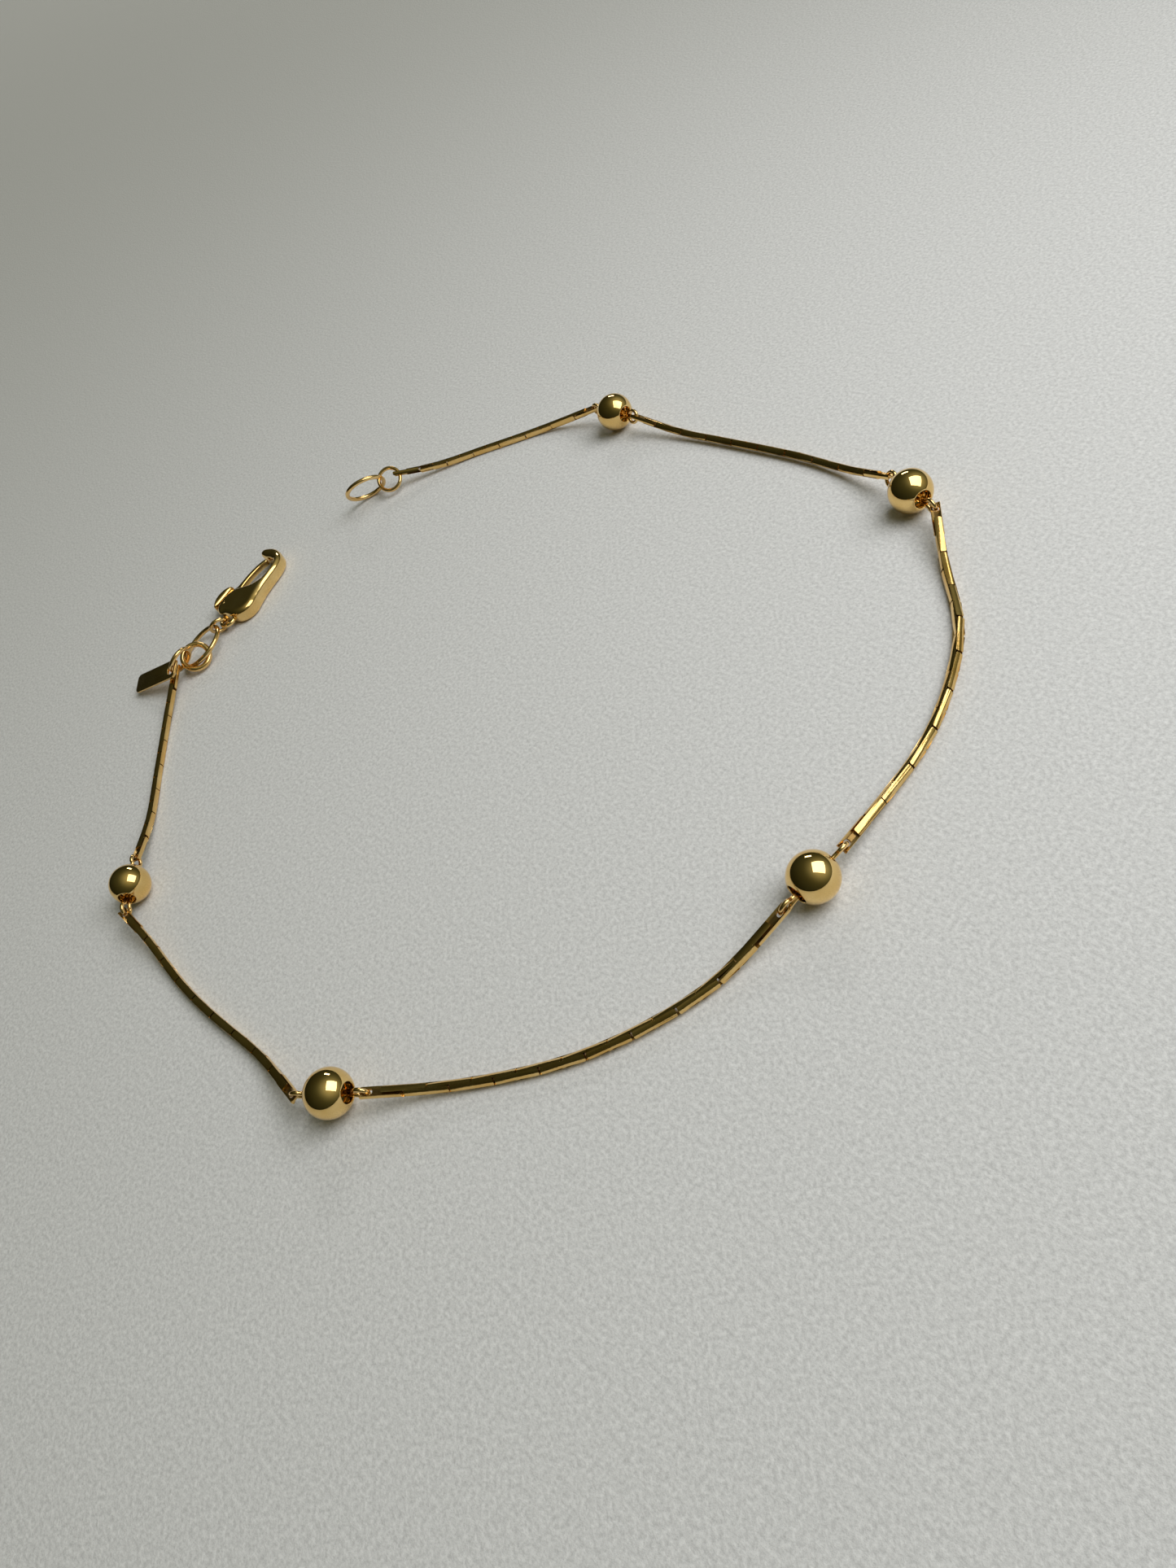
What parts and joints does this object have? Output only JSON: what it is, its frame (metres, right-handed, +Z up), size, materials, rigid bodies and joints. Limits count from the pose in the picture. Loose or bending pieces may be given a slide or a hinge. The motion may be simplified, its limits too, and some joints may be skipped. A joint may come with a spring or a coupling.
{
  "type": "bracelet",
  "caption": "Fine gold station bracelet of square cable chain and small round hollow beads, lying open, with a lobster clasp, a bare tag and an end ring.",
  "frame": {"origin": "middle of the bracelet's footprint, on the surface that it lies on", "axes": "+Z up, out of the surface; +X across the open loop from the side with bead_3 towards the clasp and the end ring; +Y towards bead_1, bead_2 and the top of the loop"},
  "size_m": [0.0685, 0.0581, 0.0033],
  "materials": {
    "bead_gold": "mirror-polished yellow gold",
    "wire_gold": "polished drawn gold wire",
    "chain_gold": "polished, filed flat faces",
    "clasp_gold": "polished cast gold",
    "tag_gold": "satin gold sheet"
  },
  "bodies": {
    "bracelet": {"bead_1": "bead_gold", "bead_2": "bead_gold", "bead_3": "bead_gold", "bead_4": "bead_gold", "bead_5": "bead_gold", "chain_1": "chain_gold", "chain_2": "chain_gold", "chain_3": "chain_gold", "chain_4": "chain_gold", "chain_5": "chain_gold", "chain_6": "chain_gold", "clasp_body": "clasp_gold", "clasp_pin": "wire_gold", "clasp_ring": "wire_gold", "connector_1": "wire_gold", "connector_2": "wire_gold", "connector_3": "wire_gold", "connector_4": "wire_gold", "connector_5": "wire_gold", "end_ring_1": "wire_gold", "end_ring_2": "wire_gold", "jump_ring_1": "wire_gold", "jump_ring_2": "wire_gold", "large_ring": "wire_gold", "tag": "tag_gold"},
    "lever": {"clasp_lever": "clasp_gold"}
  },
  "joints": [
    {"name": "lever_hinge", "type": "hinge", "parent": "bracelet", "child": "lever", "pos_m": [0.03225, 0.00422, 0.00075], "axis": [0, 0, 1], "range_deg": [-13, 0], "stiffness_Nm_per_rad": 0.0002, "springref_deg": 5.73}
  ]
}
